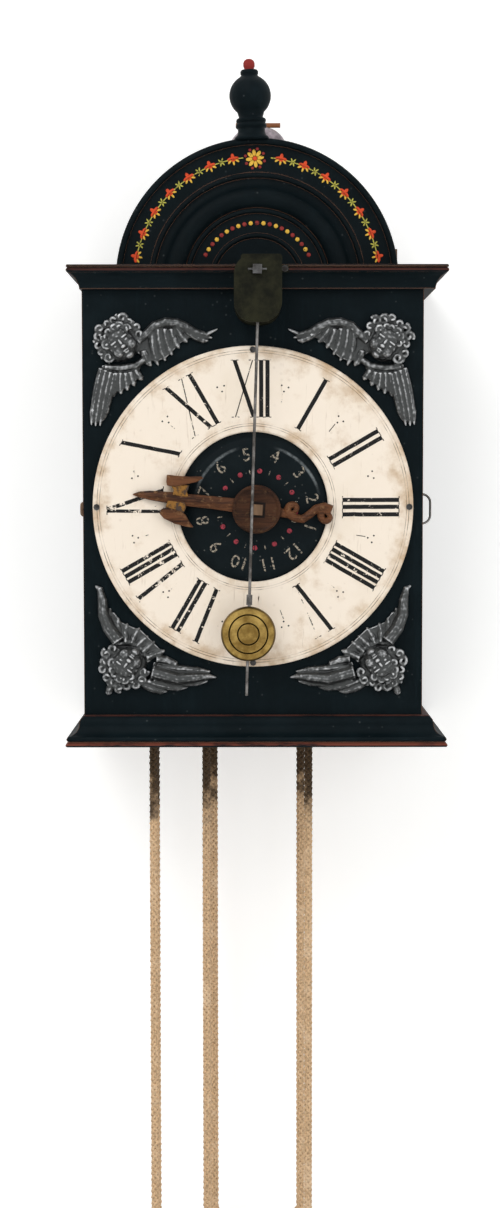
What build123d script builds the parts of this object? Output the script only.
"""Wooden-wheel wall clock with front pendulum, alarm disc, striking train and bell.

Millimetres. +Z is up and the dial faces -Y. The wall is the plane y = 0 and the origin
is the centre of the hanging hole. A "depth" is a distance in front of the wall, so a
point at depth d has y = -d. Turning pieces lie on axes that run to the front unless
their section says otherwise.
"""

import os
from math import asin, cos, degrees, pi, radians, sin, sqrt, tan

from build123d import *

os.makedirs("parts", exist_ok=True)

# Driving heights, measured from the centre of the hour arbor's dial
dial_z = -172.0
hour_arbor_drop = 1.8
verge_rise = 157.3
base_bottom_drop = 163.0
base_height = 20.4
floor_top_drop = 143.0
cornice_rise = 147.1
cornice_height = 15.5
top_board_rise = 148.0
arch_centre_rise = 153.0
rope_end_drop = 532.0

# Case
case_half_width = 116.0
case_depth = 150.0
board = 8.0
top_board_thickness = 12.0
floor_thickness = 10.0
back_board_half_width = 112.0
back_tongue_half_width = 26.0
hanging_hole_radius = 4.0
hanging_plate_thickness = 2.5
hanging_plate_half_width = 14.0
hanging_plate_height = 62.0
hanging_hole_below_plate_top = 13.0
clearance_hole_radius = 9.0
joint_gap = 0.3

# Mouldings
cornice_left = 125.4
cornice_right = 131.6
cornice_front = 164.0
cornice_reach = 8.2
cornice_back = 16.0
base_left = 127.5
base_right = 132.0
base_front = 167.0
base_reach = 12.0
base_back = 19.0

# Doors
door_thickness = 7.0
door_pin_radius = 1.6
door_pin_length = 16.0
door_pin_hole = 20.0
door_pin_set_back = 4.0
running_gap = 0.05
pull_wire = 1.6
pull_height = 22.0
pull_reach = 7.4
pull_set_back = 18.0
pull_depth = case_depth - pull_set_back
knob_radius = 5.0
knob_reach = 3.2

# Arch, finial and bell
arch_x = 3.0
arch_radius = 96.0
arch_set_back = 16.0
arch_thickness = 10.2
arch_back_depth = case_depth - arch_set_back
batten_left = 84.0
batten_right = 99.0
batten_height = 16.0
batten_thickness = 8.0
finial_x = -0.6
finial_lean = 2.2
finial_set_back = 9.0
finial_depth = case_depth - finial_set_back
finial_seat_rise = 249.2 - 153.0
finial_dowel_radius = 3.0
finial_dowel_length = 9.0
bell_x = 4.0
bell_depth = 64.0
bell_top_rise = 270.5
bell_height = 48.0
bell_mouth_radius = 36.0
bell_wall = 3.0
bell_shoulder = 17.0
bell_crown_flat = 4.0
post_radius = 7.0
post_neck_radius = 3.2
peg_radius = 1.7
peg_length = 32.0

# Dial, alarm disc and hand
dial_radius = 109.0
dial_opening = 50.9
dial_thickness = 6.0
alarm_disc_radius = 55.0
alarm_disc_thickness = 2.4
alarm_disc_gap = 0.6
alarm_disc_dish = 1.2
rebate_play = 2.0
hour_arbor_radius = 6.0
hour_collar_radius = 8.0
hand_gap = 0.8
hand_thickness = 4.6
hub_radius = 16.5
hub_rise = 3.0
hub_shift = (-0.6, 0.3)
square_size = 7.0
square_reach = 2.4

# Shield over the verge and the pendulum
shield_x = 3.25
shield_half_width = 15.75
shield_top_rise = 167.4
shield_bottom_rise = 122.8
shield_front = 181.0
shield_sheet = 0.9
pendulum_depth = 174.0
pendulum_lean = 1.75
pendulum_swing = 12.0
rod_offset = 1.2
rod_radius = 1.0
rod_length = 284.0
bob_distance = 242.3
bob_radius = 18.5
bob_thickness = 8.0
sleeve_distance = 219.5
sleeve_length = 7.0
sleeve_radius = 2.0
nail_shank = 0.9
nail_head = 2.2
nail_head_height = 0.9

# Movement frame
train_x = 3.0
bar_half_width = 23.0
bar_thickness = 10.0
front_bar_depth = 121.0
middle_bar_depth = 67.0
rear_bar_depth = 20.0
pivot_radius = 1.25
pivot_length = 5.0

# Gearing: teeth and modules
wheel_teeth = 48
pinion_leaves = 8
hour_module = 1.25
great_module = 1.875
second_module = 1.5
contrate_teeth = 64
contrate_module = 1.125
crown_teeth = 25
strike_great_module = 1.625
strike_second_module = 1.25
warning_teeth = 40
warning_module = 1.1
count_teeth = 78
count_module = 1.0
wheel_thickness = 5.0
thin_wheel = 4.0
arbor_radius = 4.0
crossing_width = 7.0
wheel_addendum = 0.9
wheel_dedendum = 1.35
leaf_addendum = 0.72
leaf_dedendum = 1.5

# Escapement
crown_radius = 14.0
crown_ring = 2.4
crown_tooth_height = 3.2
verge_radius = 1.75
pallet_length = 5.2
pallet_width = 5.0
pallet_sheet = 1.0
pallet_angle = 50.0
verge_over_crown = 4.6

# Ropes and sheaves
rope_radius = 3.25
rope_gap = 0.3
going_rope_track = 36.3
strike_rope_track = 32.2
alarm_rope_track = 13.0
going_rope_depth = 103.5
strike_rope_depth = 49.5
alarm_rope_x = -69.5
alarm_arbor_depth = 118.0
alarm_arbor_rise = 70.0
sheave_flange = 2.2
sheave_wall = 1.6
knot_radius = 5.6
hook_wire = 1.6
hook_shank = 16.0
hook_bend = 6.5

# Striking and alarm hammers
hammer_arbor_x = 20.0
hammer_arbor_rise = 104.0
hammer_depth = 64.5
hammer_head_radius = 5.0
hammer_wire = 1.2
strike_pin_track = 26.0
strike_pin_radius = 1.3
strike_pins = 8
alarm_staff_x = -44.0
alarm_staff_radius = 2.5
alarm_arbor_radius = 3.0
alarm_crown_radius = 11.0
alarm_crown_teeth = 15
alarm_arm_length = 32.0
alarm_arm_angle = 24.0
alarm_head_radius = 4.5

# Places worked out from the driving values
base_bottom = dial_z - base_bottom_drop
base_top = base_bottom + base_height
floor_top = dial_z - floor_top_drop
cornice_bottom = dial_z + cornice_rise
top_board_bottom = dial_z + top_board_rise
top_board_top = top_board_bottom + top_board_thickness
arch_z = dial_z + arch_centre_rise
hour_z = dial_z - hour_arbor_drop
verge_z = dial_z + verge_rise
front_board_back = case_depth - board
bell_top = dial_z + bell_top_rise
rope_end = dial_z - rope_end_drop
hour_distance = hour_module * (wheel_teeth + pinion_leaves) / 2
great_z = hour_z - hour_distance
second_z = great_z + great_module * (wheel_teeth + pinion_leaves) / 2
contrate_z = second_z + second_module * (wheel_teeth + pinion_leaves) / 2
contrate_radius = contrate_module * contrate_teeth / 2
crown_pinion_radius = contrate_module * pinion_leaves / 2
strike_second_z = great_z + strike_great_module * (wheel_teeth + pinion_leaves) / 2
warning_z = strike_second_z + strike_second_module * (wheel_teeth + pinion_leaves) / 2
fly_z = warning_z + warning_module * (warning_teeth + pinion_leaves) / 2
count_z = great_z - count_module * (count_teeth + pinion_leaves) / 2
alarm_arbor_z = dial_z + alarm_arbor_rise
hammer_arbor_z = dial_z + hammer_arbor_rise

# Depths of the wheels, as the wheel's back face
great_wheel_depth = 111.0
second_wheel_depth = 90.0
contrate_depth = 106.0
contrate_face_tooth = 3.0
hour_wheel_depth = 134.0
strike_great_depth = 57.0
strike_second_depth = 37.0
warning_depth = 55.5
count_depth = 13.0
crown_depth = contrate_depth - 1.8 - crown_pinion_radius


def front_plane(depth, x=0.0, z=0.0):
    """Plane parallel to the wall at a depth, with its normal to the front."""
    return Plane(origin=(x, -depth, z), x_dir=(1, 0, 0), z_dir=(0, -1, 0))


def level_plane(z, x=0.0, depth=0.0):
    """Level plane at a height, centred on a point given by x and depth."""
    return Plane(origin=(x, -depth, z), x_dir=(1, 0, 0), z_dir=(0, 0, 1))


def side_plane(x, depth=0.0, z=0.0):
    """Plane across the clock whose normal is +X, with local x to the front and y up."""
    return Plane(origin=(x, -depth, z), x_dir=(0, 1, 0), z_dir=(1, 0, 0))


def tooth_plane(track):
    """Plane of a face tooth's outline, for a tooth that is then set out round a wheel."""
    return Plane(origin=(0, track, 0), x_dir=(1, 0, 0), z_dir=(0, 1, 0))


def save(piece, name):
    """Label a finished piece and write its file."""
    piece.part.label = name
    export_step(piece.part, f"parts/{name}.step")


def slab(x_low, x_high, depth_back, depth_front, z_low, z_high, mode=Mode.ADD):
    """A board between two limits on each axis."""
    centre_x = (x_low + x_high) / 2
    centre_z = (z_low + z_high) / 2
    with BuildSketch(front_plane(depth_back, centre_x, centre_z)) as outline:
        Rectangle(x_high - x_low, z_high - z_low)
    extrude(outline.sketch, amount=depth_front - depth_back, mode=mode)


def rod_front(depth_back, depth_front, radius, x, z, mode=Mode.ADD):
    """A round rod or hole along the line to the front."""
    with BuildSketch(front_plane(depth_back, x, z)) as outline:
        Circle(radius)
    extrude(outline.sketch, amount=depth_front - depth_back, mode=mode)


def rod_up(z_low, z_high, radius, x, depth, mode=Mode.ADD):
    """A round rod or hole standing up."""
    with BuildSketch(level_plane(z_low, x, depth)) as outline:
        Circle(radius)
    extrude(outline.sketch, amount=z_high - z_low, mode=mode)


def rod_right(x_low, x_high, radius, depth, z, mode=Mode.ADD):
    """A round rod or hole across the clock."""
    with BuildSketch(side_plane(x_low, depth, z)) as outline:
        Circle(radius)
    extrude(outline.sketch, amount=x_high - x_low, mode=mode)


def tooth_ring(count, root, tip, root_share, tip_share, lead):
    """Points of a toothed rim: straight-sided teeth, the first one centred on lead."""
    pitch = 2 * pi / count
    points = []
    for tooth in range(count):
        middle = lead + tooth * pitch
        corners = ((-root_share, root), (-tip_share, tip), (tip_share, tip), (root_share, root))
        for share, radius in corners:
            angle = middle + share * pitch / 2
            points.append((radius * cos(angle), radius * sin(angle)))
    return points


def wheel_points(count, module, lead=pi / 2):
    """Rim of a wheel whose first tooth points up unless lead says otherwise."""
    pitch_radius = module * count / 2
    root = pitch_radius - wheel_dedendum * module
    tip = pitch_radius + wheel_addendum * module
    return tooth_ring(count, root, tip, 0.56, 0.20, lead)


def leaf_points(count, module, lead):
    """Rim of a pinion with thin leaves."""
    pitch_radius = module * count / 2
    root = pitch_radius - leaf_dedendum * module
    tip = pitch_radius + leaf_addendum * module
    return tooth_ring(count, root, tip, 0.34, 0.22, lead)


def toothed_wheel(count, module, depth, thickness, x, z, lead=pi / 2, crossings=True, bored=True):
    """A wooden wheel with four crossings, bored for its arbor unless they are one piece."""
    rim_inside = module * count / 2 - wheel_dedendum * module - 1.2 * crossing_width
    with BuildSketch(front_plane(depth, x, z)) as outline:
        with BuildLine():
            Polyline(*wheel_points(count, module, lead), close=True)
        make_face()
        if crossings:
            Circle(rim_inside, mode=Mode.SUBTRACT)
            Circle(1.4 * crossing_width)
            Rectangle(crossing_width, 2 * rim_inside + crossing_width)
            Rectangle(2 * rim_inside + crossing_width, crossing_width)
        if bored:
            Circle(arbor_radius, mode=Mode.SUBTRACT)
    extrude(outline.sketch, amount=thickness)


def pinion(module, depth_back, depth_front, x, z, count=pinion_leaves):
    """Leaves cut on an arbor, with gaps pointing straight up and down."""
    with BuildSketch(front_plane(depth_back, x, z)) as outline:
        with BuildLine():
            Polyline(*leaf_points(count, module, pi / 2 + pi / count), close=True)
        make_face()
    extrude(outline.sketch, amount=depth_front - depth_back)


def arbor_body(depth_back, depth_front, x, z, leaves=None):
    """A turned arbor with a wire pivot at each end, and leaves cut in it where asked."""
    if leaves is None:
        rod_front(depth_back + joint_gap, depth_front - joint_gap, arbor_radius, x, z)
    else:
        module, leaf_back, leaf_front = leaves
        rod_front(depth_back + joint_gap, leaf_back, arbor_radius, x, z)
        pinion(module, leaf_back, leaf_front, x, z)
        rod_front(leaf_front, depth_front - joint_gap, arbor_radius, x, z)
    rod_front(depth_back - pivot_length, depth_back + joint_gap, pivot_radius, x, z)
    rod_front(depth_front - joint_gap, depth_front + pivot_length, pivot_radius, x, z)


def rope_sheave(depth, x, z, track):
    """A grooved sheave, bored for its arbor, that leaves the rope a small gap."""
    bottom = track - rope_radius - rope_gap
    half = rope_radius + rope_gap
    flange = track + sheave_flange
    with BuildSketch(level_plane(z, x, depth)) as profile:
        with BuildLine():
            Polyline(
                (arbor_radius, half + sheave_wall),
                (flange, half + sheave_wall),
                (flange, half),
                (bottom + half, half),
            )
            ThreePointArc((bottom + half, half), (bottom, 0), (bottom + half, -half))
            Polyline(
                (bottom + half, -half),
                (flange, -half),
                (flange, -half - sheave_wall),
                (arbor_radius, -half - sheave_wall),
                (arbor_radius, half + sheave_wall),
            )
        make_face()
    revolve(profile.sketch, axis=Axis((x, -depth, z), (0, 1, 0)))


# Top board, with the cut-out that the escapement sinks into
slot_half_width = 9.0
opening_radius = crown_radius + 3.0
slot_back = crown_depth - 25.7
bridge_thickness = 1.5
bridge_bottom = verge_z - verge_radius - 0.65 - bridge_thickness
bridge_half_length = opening_radius + 4.0
bridge_half_width = 3.0
cock_thickness = 6.0
front_cock_depth = 125.0
pallet_room = 2.2
rear_cock_depth = crown_depth - crown_radius - pallet_width / 2 - pallet_room - cock_thickness
hammer_slot_left = 13.5
hammer_slot_right = 36.0

with BuildPart() as top_board:
    slab(-case_half_width, case_half_width, board, case_depth, top_board_bottom, top_board_top)
    slab(
        train_x - slot_half_width,
        train_x + slot_half_width,
        slot_back,
        case_depth,
        top_board_bottom,
        top_board_top,
        mode=Mode.SUBTRACT,
    )
    rod_up(top_board_bottom, top_board_top, opening_radius, train_x, crown_depth, mode=Mode.SUBTRACT)
    slab(
        train_x - bridge_half_length,
        train_x + bridge_half_length,
        crown_depth - bridge_half_width,
        crown_depth + bridge_half_width,
        bridge_bottom,
        top_board_top,
        mode=Mode.SUBTRACT,
    )
    rod_up(top_board_bottom, top_board_top, post_radius, bell_x, bell_depth, mode=Mode.SUBTRACT)
    slab(
        hammer_slot_left,
        hammer_slot_right,
        hammer_depth - 4,
        hammer_depth + 4,
        top_board_bottom,
        top_board_top,
        mode=Mode.SUBTRACT,
    )
    rod_up(
        top_board_bottom,
        top_board_top,
        alarm_staff_radius + running_gap,
        alarm_staff_x,
        alarm_arbor_depth,
        mode=Mode.SUBTRACT,
    )
    for side in (-1, 1):
        rod_up(
            top_board_bottom,
            top_board_bottom + door_pin_length / 2,
            door_pin_radius,
            side * (case_half_width - door_thickness / 2),
            board + door_pin_set_back,
            mode=Mode.SUBTRACT,
        )
save(top_board, "top_board")

# Floor of the case, with a slot for each rope
rope_slot_play = 4.0
with BuildPart() as floor_board:
    slab(-case_half_width, case_half_width, 0, case_depth, floor_top - floor_thickness, floor_top)
    rope_places = (
        (train_x - going_rope_track, going_rope_depth),
        (train_x + going_rope_track, going_rope_depth),
        (train_x - strike_rope_track, strike_rope_depth),
        (train_x + strike_rope_track, strike_rope_depth),
        (alarm_rope_x, alarm_arbor_depth + alarm_rope_track),
        (alarm_rope_x, alarm_arbor_depth - alarm_rope_track),
    )
    for place_x, place_depth in rope_places:
        with BuildSketch(level_plane(floor_top, place_x, place_depth)):
            SlotOverall(2 * (rope_radius + rope_slot_play), 2 * rope_radius + rope_slot_play)
        extrude(amount=-floor_thickness, mode=Mode.SUBTRACT)
    for side in (-1, 1):
        rod_up(
            floor_top - door_pin_length / 2,
            floor_top,
            door_pin_radius,
            side * (case_half_width - door_thickness / 2),
            board + door_pin_set_back,
            mode=Mode.SUBTRACT,
        )
save(floor_board, "floor_board")

# Front board, bored for the hour arbor and the dial's nails
dial_nail_track = 106.2
dial_nail_angles = (90.0, 180.0, 270.0, 0.0)
dial_nail_places = [
    (dial_nail_track * cos(radians(angle)), dial_z + dial_nail_track * sin(radians(angle)))
    for angle in dial_nail_angles
]
arbor_hole_radius = hour_arbor_radius + running_gap
with BuildPart() as front_board:
    slab(-case_half_width, case_half_width, front_board_back, case_depth, floor_top, top_board_bottom)
    rod_front(front_board_back, case_depth, arbor_hole_radius, train_x, hour_z, mode=Mode.SUBTRACT)
    for nail_x, nail_z in dial_nail_places:
        rod_front(front_board_back, case_depth, nail_shank, nail_x, nail_z, mode=Mode.SUBTRACT)
save(front_board, "front_board")

# Back board with a tongue that carries the hanging plate
tongue_top = hanging_hole_below_plate_top + 6.0
with BuildPart() as back_board:
    slab(-back_board_half_width, back_board_half_width, 0, board, floor_top, top_board_top)
    slab(-back_tongue_half_width, back_tongue_half_width, 0, board, top_board_top, tongue_top)
    fillet(back_board.edges().filter_by(Axis.Y).group_by(Axis.Z)[-1], radius=12)
    rod_front(hanging_plate_thickness, board, clearance_hole_radius, 0, 0, mode=Mode.SUBTRACT)
    slab(
        -hanging_plate_half_width,
        hanging_plate_half_width,
        0,
        hanging_plate_thickness,
        hanging_hole_below_plate_top - hanging_plate_height,
        hanging_hole_below_plate_top,
        mode=Mode.SUBTRACT,
    )
save(back_board, "back_board")

with BuildPart() as hanging_plate:
    slab(
        -hanging_plate_half_width,
        hanging_plate_half_width,
        0,
        hanging_plate_thickness,
        hanging_hole_below_plate_top - hanging_plate_height,
        hanging_hole_below_plate_top,
    )
    plate_top_corners = hanging_plate.edges().filter_by(Axis.Y).group_by(Axis.Z)[-1]
    fillet(plate_top_corners, radius=hanging_plate_half_width - 4)
    rod_front(0, hanging_plate_thickness, hanging_hole_radius, 0, 0, mode=Mode.SUBTRACT)
save(hanging_plate, "hanging_plate")

# Cornice: lip, bead and cove carried round the front and both sides, notched for the verge
notch_half_width = 6.0
shield_nail_x = shield_x + shield_half_width + 2.6
shield_nail_z = dial_z + 159.5
shield_nail_end = cornice_front - 8.0
with BuildPart() as cornice:
    with BuildLine(level_plane(cornice_bottom)):
        Polyline(
            (-cornice_left, 0),
            (-cornice_left, -cornice_front),
            (cornice_right, -cornice_front),
            (cornice_right, 0),
        )
    with BuildSketch(Plane(origin=(-cornice_left, 0, cornice_bottom), x_dir=(-1, 0, 0), z_dir=(0, 1, 0))):
        with BuildLine():
            Line((-cornice_back, 0), (-cornice_reach, 0))
            Line((-cornice_reach, 0), (-cornice_reach, 0.8))
            ThreePointArc((-cornice_reach, 0.8), (-5.6, 6.9), (-1.6, 10.4))
            Line((-1.6, 10.4), (-0.9, 10.4))
            ThreePointArc((-0.9, 10.4), (0, 11.8), (-0.9, 13.2))
            Line((-0.9, 13.2), (-1.4, 13.8))
            Line((-1.4, 13.8), (0, 14.2))
            Line((0, 14.2), (-0.6, cornice_height))
            Line((-0.6, cornice_height), (-cornice_back, cornice_height))
            Line((-cornice_back, cornice_height), (-cornice_back, 0))
        make_face()
    sweep(transition=Transition.RIGHT)
    slab(
        -case_half_width,
        case_half_width,
        -1,
        case_depth,
        cornice_bottom - 1,
        cornice_bottom + cornice_height + 1,
        mode=Mode.SUBTRACT,
    )
    slab(
        train_x - notch_half_width,
        train_x + notch_half_width,
        case_depth - 1,
        cornice_front + 2,
        verge_z - notch_half_width,
        cornice_bottom + cornice_height + 1,
        mode=Mode.SUBTRACT,
    )
    rod_front(shield_nail_end, cornice_front, nail_shank, shield_nail_x, shield_nail_z, mode=Mode.SUBTRACT)
save(cornice, "cornice")

# Base moulding: an ogee over two beads, hooked under the floor's edge
with BuildPart() as base_moulding:
    with BuildLine(level_plane(base_bottom)):
        Polyline(
            (-base_left, 0),
            (-base_left, -base_front),
            (base_right, -base_front),
            (base_right, 0),
        )
    with BuildSketch(Plane(origin=(-base_left, 0, base_bottom), x_dir=(-1, 0, 0), z_dir=(0, 1, 0))):
        with BuildLine():
            Line((-base_back, 0), (-1.2, 0))
            ThreePointArc((-1.2, 0), (0, 1.4), (-1.2, 2.8))
            Line((-1.2, 2.8), (-2.0, 3.1))
            Line((-2.0, 3.1), (-2.0, 3.8))
            ThreePointArc((-2.0, 3.8), (-0.6, 5.4), (-2.0, 7.0))
            ThreePointArc((-2.0, 7.0), (-6.6, 9.6), (-8.6, 14.2))
            ThreePointArc((-8.6, 14.2), (-9.2, 17.6), (-base_reach, base_height))
            Line((-base_reach, base_height), (-base_back, base_height))
            Line((-base_back, base_height), (-base_back, 0))
        make_face()
    sweep(transition=Transition.RIGHT)
    slab(
        -case_half_width,
        case_half_width,
        -1,
        case_depth,
        floor_top - floor_thickness,
        base_top + 1,
        mode=Mode.SUBTRACT,
    )
save(base_moulding, "base_moulding")

# Side doors, each turning on two wire pins near its rear edge
door_bottom = base_top + joint_gap
door_top = cornice_bottom - joint_gap
door_front = front_board_back - joint_gap
door_pin_depth = board + door_pin_set_back
pin_in_door = door_pin_hole - 1.0
for side, door_name in ((-1, "left_door"), (1, "right_door")):
    pin_x = side * (case_half_width - door_thickness / 2)
    outer_x = side * case_half_width
    inner_x = side * (case_half_width - door_thickness)
    pin_hole = door_pin_radius + running_gap
    with BuildPart() as door:
        slab(
            min(inner_x, outer_x),
            max(inner_x, outer_x),
            door_pin_depth,
            door_front,
            door_bottom,
            door_top,
        )
        rod_up(door_bottom, door_top, door_thickness / 2, pin_x, door_pin_depth)
        for hole_low in (door_bottom, door_top - door_pin_hole):
            rod_up(hole_low, hole_low + door_pin_hole, pin_hole, pin_x, door_pin_depth, mode=Mode.SUBTRACT)
        if side > 0:
            for leg in (-1, 1):
                leg_z = hour_z + leg * (pull_height - pull_wire) / 2
                rod_right(inner_x, outer_x, pull_wire / 2, pull_depth, leg_z, mode=Mode.SUBTRACT)
        else:
            rod_right(outer_x, inner_x, pull_wire, pull_depth, hour_z, mode=Mode.SUBTRACT)
    save(door, door_name)

with BuildPart() as door_hinge_pins:
    for side in (-1, 1):
        pin_x = side * (case_half_width - door_thickness / 2)
        for pin_low, pin_high in (
            (floor_top - door_pin_length / 2, door_bottom + pin_in_door),
            (door_top - pin_in_door, top_board_bottom + door_pin_length / 2),
        ):
            rod_up(pin_low, pin_high, door_pin_radius, pin_x, door_pin_depth)
save(door_hinge_pins, "door_hinge_pins")

# Wire pull on the right door: a bow whose legs go through the board
with BuildPart() as door_pull:
    leg = (pull_height - pull_wire) / 2
    reach = pull_reach - pull_wire / 2
    outer = case_half_width
    with BuildLine(Plane(origin=(0, -pull_depth, hour_z), x_dir=(1, 0, 0), z_dir=(0, -1, 0))) as bow:
        FilletPolyline(
            (outer - door_thickness, leg),
            (outer + reach, leg),
            (outer + reach, -leg),
            (outer - door_thickness, -leg),
            radius=0.9 * reach,
        )
    with BuildSketch(Plane(bow.line @ 0, x_dir=(0, 1, 0), z_dir=bow.line % 0)):
        Circle(pull_wire / 2)
    sweep()
save(door_pull, "door_pull")

# Turned knob on the left door
with BuildPart() as door_knob:
    outer = -case_half_width
    rod_right(outer, outer + door_thickness, pull_wire, pull_depth, hour_z)
    rod_right(outer - 0.8, outer, knob_radius - 1.2, pull_depth, hour_z)
    rod_right(outer - knob_reach, outer - 0.8, knob_radius, pull_depth, hour_z)
    chamfer(door_knob.edges().filter_by(GeomType.CIRCLE).group_by(Axis.X)[0], length=1.0)
save(door_knob, "door_knob")

# Arch: a turned disc cut off at the top board, its rings in relief
finial_plane = Plane(
    origin=(finial_x, -finial_depth, arch_z + finial_seat_rise - 0.4),
    x_dir=(cos(radians(finial_lean)), 0, sin(radians(finial_lean))),
    z_dir=(-sin(radians(finial_lean)), 0, cos(radians(finial_lean))),
)
band = arch_back_depth + arch_thickness
with BuildPart() as arch:
    with BuildSketch(Plane(origin=(arch_x, 0, arch_z), x_dir=(1, 0, 0), z_dir=(0, 0, 1))):
        with BuildLine():
            Line((0, -arch_back_depth), (0, -band - 1.3))
            Line((0, -band - 1.3), (29.2, -band - 1.3))
            ThreePointArc((29.2, -band - 1.3), (30.8, -band - 3.0), (32.4, -band - 0.8))
            Line((32.4, -band - 0.8), (46.0, -band - 0.8))
            ThreePointArc((46.0, -band - 0.8), (47.6, -band - 3.4), (49.2, -band - 1.4))
            ThreePointArc((49.2, -band - 1.4), (56.0, -band - 5.7), (63.0, -band - 1.6))
            ThreePointArc((63.0, -band - 1.6), (66.2, -band + 1.0), (70.0, -band + 1.4))
            ThreePointArc((70.0, -band + 1.4), (71.7, -band - 1.2), (73.4, -band))
            Line((73.4, -band), (92.2, -band))
            ThreePointArc((92.2, -band), (94.6, -band - 3.2), (arch_radius, -band - 0.2))
            Line((arch_radius, -band - 0.2), (arch_radius, -arch_back_depth))
            Line((arch_radius, -arch_back_depth), (0, -arch_back_depth))
        make_face()
    revolve(axis=Axis((arch_x, 0, arch_z), (0, 1, 0)), revolution_arc=360)
    split(bisect_by=Plane.XY.offset(top_board_top), keep=Keep.TOP)
    slab(
        train_x - slot_half_width,
        train_x + slot_half_width,
        arch_back_depth - 1,
        case_depth + 1,
        top_board_top - 1,
        verge_z + notch_half_width,
        mode=Mode.SUBTRACT,
    )
    with BuildSketch(finial_plane):
        Rectangle(26, 20)
    extrude(amount=6, mode=Mode.SUBTRACT)
    with BuildSketch(finial_plane):
        Circle(finial_dowel_radius)
    extrude(amount=-finial_dowel_length, mode=Mode.SUBTRACT)
save(arch, "arch")

with BuildPart() as arch_batten:
    slab(
        -batten_left,
        batten_right,
        arch_back_depth - batten_thickness,
        arch_back_depth,
        top_board_top,
        top_board_top + batten_height,
    )
    slab(
        train_x - slot_half_width,
        train_x + slot_half_width,
        arch_back_depth - batten_thickness - 1,
        arch_back_depth + 1,
        top_board_top - 1,
        top_board_top + batten_height - 6,
        mode=Mode.SUBTRACT,
    )
save(arch_batten, "arch_batten")

# Turned finial on a dowel, leaning a little as it stands on the arch
finial_ball = 13.9
finial_ball_rise = 30.2
finial_foot = 11.0
finial_height = 54.2
finial_neck = 5.6
finial_collar = 4.6
neck_rise = finial_ball_rise - sqrt(finial_ball**2 - finial_neck**2)
collar_rise = finial_ball_rise + sqrt(finial_ball**2 - finial_collar**2)
with BuildPart() as finial:
    with BuildSketch(Plane(origin=finial_plane.origin, x_dir=finial_plane.x_dir, z_dir=(0, -1, 0))):
        with BuildLine():
            Polyline(
                (0, finial_height),
                (0, -finial_dowel_length),
                (finial_dowel_radius, -finial_dowel_length),
                (finial_dowel_radius, 0),
                (finial_foot, 0),
                (finial_foot, 1.3),
            )
            ThreePointArc((finial_foot, 1.3), (6.0, 2.6), (4.3, 6.2))
            Line((4.3, 6.2), (4.3, 8.4))
            ThreePointArc((4.3, 8.4), (6.9, 9.7), (5.4, 11.2))
            Line((5.4, 11.2), (5.4, 12.0))
            ThreePointArc((5.4, 12.0), (9.7, 14.4), (finial_neck, neck_rise))
            ThreePointArc(
                (finial_neck, neck_rise),
                (finial_ball, finial_ball_rise),
                (finial_collar, collar_rise),
            )
            ThreePointArc((finial_collar, collar_rise), (6.4, 45.2), (4.0, 47.0))
            ThreePointArc((4.0, 47.0), (4.3, 50.6), (1.6, finial_height))
            Line((1.6, finial_height), (0, finial_height))
        make_face()
    revolve(axis=Axis(finial_plane.origin, finial_plane.z_dir))
save(finial, "finial")

# Bell on its turned post, held down by a cross peg
bell_lip = bell_top - bell_height
with BuildPart() as bell:
    with BuildSketch(Plane(origin=(bell_x, -bell_depth, bell_top), x_dir=(1, 0, 0), z_dir=(0, -1, 0))):
        shoulder_out = bell_crown_flat + bell_shoulder
        shoulder_mid = bell_shoulder * sin(radians(45))
        with BuildLine():
            Line((post_neck_radius, 0), (bell_crown_flat, 0))
            ThreePointArc(
                (bell_crown_flat, 0),
                (bell_crown_flat + shoulder_mid, shoulder_mid - bell_shoulder),
                (shoulder_out, -bell_shoulder),
            )
            ThreePointArc(
                (shoulder_out, -bell_shoulder),
                (25.0, -34.0),
                (bell_mouth_radius, -bell_height + 1.5),
            )
            Polyline(
                (bell_mouth_radius, -bell_height + 1.5),
                (bell_mouth_radius - 0.8, -bell_height),
                (bell_mouth_radius - bell_wall, -bell_height),
            )
            ThreePointArc(
                (bell_mouth_radius - bell_wall, -bell_height),
                (22.2, -34.0),
                (shoulder_out - bell_wall, -bell_shoulder),
            )
            ThreePointArc(
                (shoulder_out - bell_wall, -bell_shoulder),
                (bell_crown_flat + shoulder_mid - 2.1, shoulder_mid - bell_shoulder - 2.1),
                (bell_crown_flat, -bell_wall),
            )
            Line((bell_crown_flat, -bell_wall), (post_neck_radius, -bell_wall))
            Line((post_neck_radius, -bell_wall), (post_neck_radius, 0))
        make_face()
    revolve(axis=Axis((bell_x, -bell_depth, bell_top), (0, 0, 1)))
save(bell, "bell")

bell_seat = bell_top - bell_wall
post_shoulder = bell_seat - 26.0
peg_z = bell_top + peg_radius
peg_half = peg_length / 2
with BuildPart() as bell_post:
    rod_up(top_board_bottom, post_shoulder, post_radius, bell_x, bell_depth)
    rod_up(post_shoulder, bell_seat, bell_crown_flat, bell_x, bell_depth)
    rod_up(bell_seat, peg_z + peg_radius + 2.5, post_neck_radius, bell_x, bell_depth)
    rod_right(bell_x - peg_half, bell_x + peg_half, peg_radius, bell_depth, peg_z, mode=Mode.SUBTRACT)
save(bell_post, "bell_post")

with BuildPart() as bell_peg:
    rod_right(bell_x - peg_half, bell_x + peg_half, peg_radius, bell_depth, peg_z)
save(bell_peg, "bell_peg")

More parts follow.
